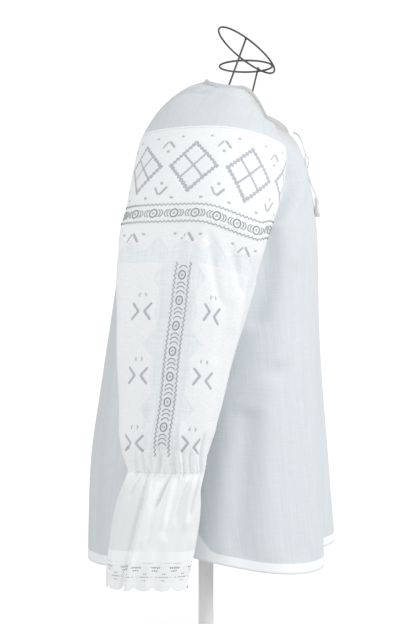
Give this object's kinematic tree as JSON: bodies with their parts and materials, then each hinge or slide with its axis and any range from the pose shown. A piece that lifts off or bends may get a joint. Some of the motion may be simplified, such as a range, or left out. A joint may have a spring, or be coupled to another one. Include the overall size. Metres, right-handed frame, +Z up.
{
  "type": "romanian ie blouse on a dress form",
  "caption": "Long raglan-sleeved linen blouse with embroidered shoulder bands and lace-edged ruffled cuffs, worn by a limbless dress form with a wire neck.",
  "frame": {"origin": "centre of the underside of the dress form's base", "axes": "+Z up, -Y towards the blouse's front, -X towards the wearer's right"},
  "size_m": [0.5964, 0.347, 0.9014],
  "materials": {
    "linen": "plain-woven fine white linen, matte, slightly see-through",
    "embroidered_linen": "white linen densely worked with white thread and openwork",
    "lace": "white cotton lace, matte",
    "tie": "twisted white cotton cord",
    "form_cover": "stretched off-white jersey over a smooth shell",
    "painted_steel": "off-white satin paint",
    "dark_wire": "dark grey painted wire"
  },
  "bodies": {
    "root": {"body_front": "linen", "body_back": "linen", "neck_casing": "linen", "form_torso": "form_cover", "form_base": "painted_steel", "form_pole": "painted_steel", "form_neck_ring": "dark_wire", "form_neck_hoop": "dark_wire", "form_neck_strut_right": "dark_wire", "form_neck_strut_left": "dark_wire", "tie_right": "tie", "tie_left": "tie", "tassel_right": "tie", "tassel_left": "tie", "sleeve_head_right": "linen", "sleeve_band_right": "embroidered_linen", "sleeve_lower_right": "linen", "cuff_ruffle_right": "linen", "cuff_lace_right": "lace", "sleeve_head_left": "linen", "sleeve_band_left": "embroidered_linen", "sleeve_lower_left": "linen", "cuff_ruffle_left": "linen", "cuff_lace_left": "lace"}
  },
  "joints": []
}
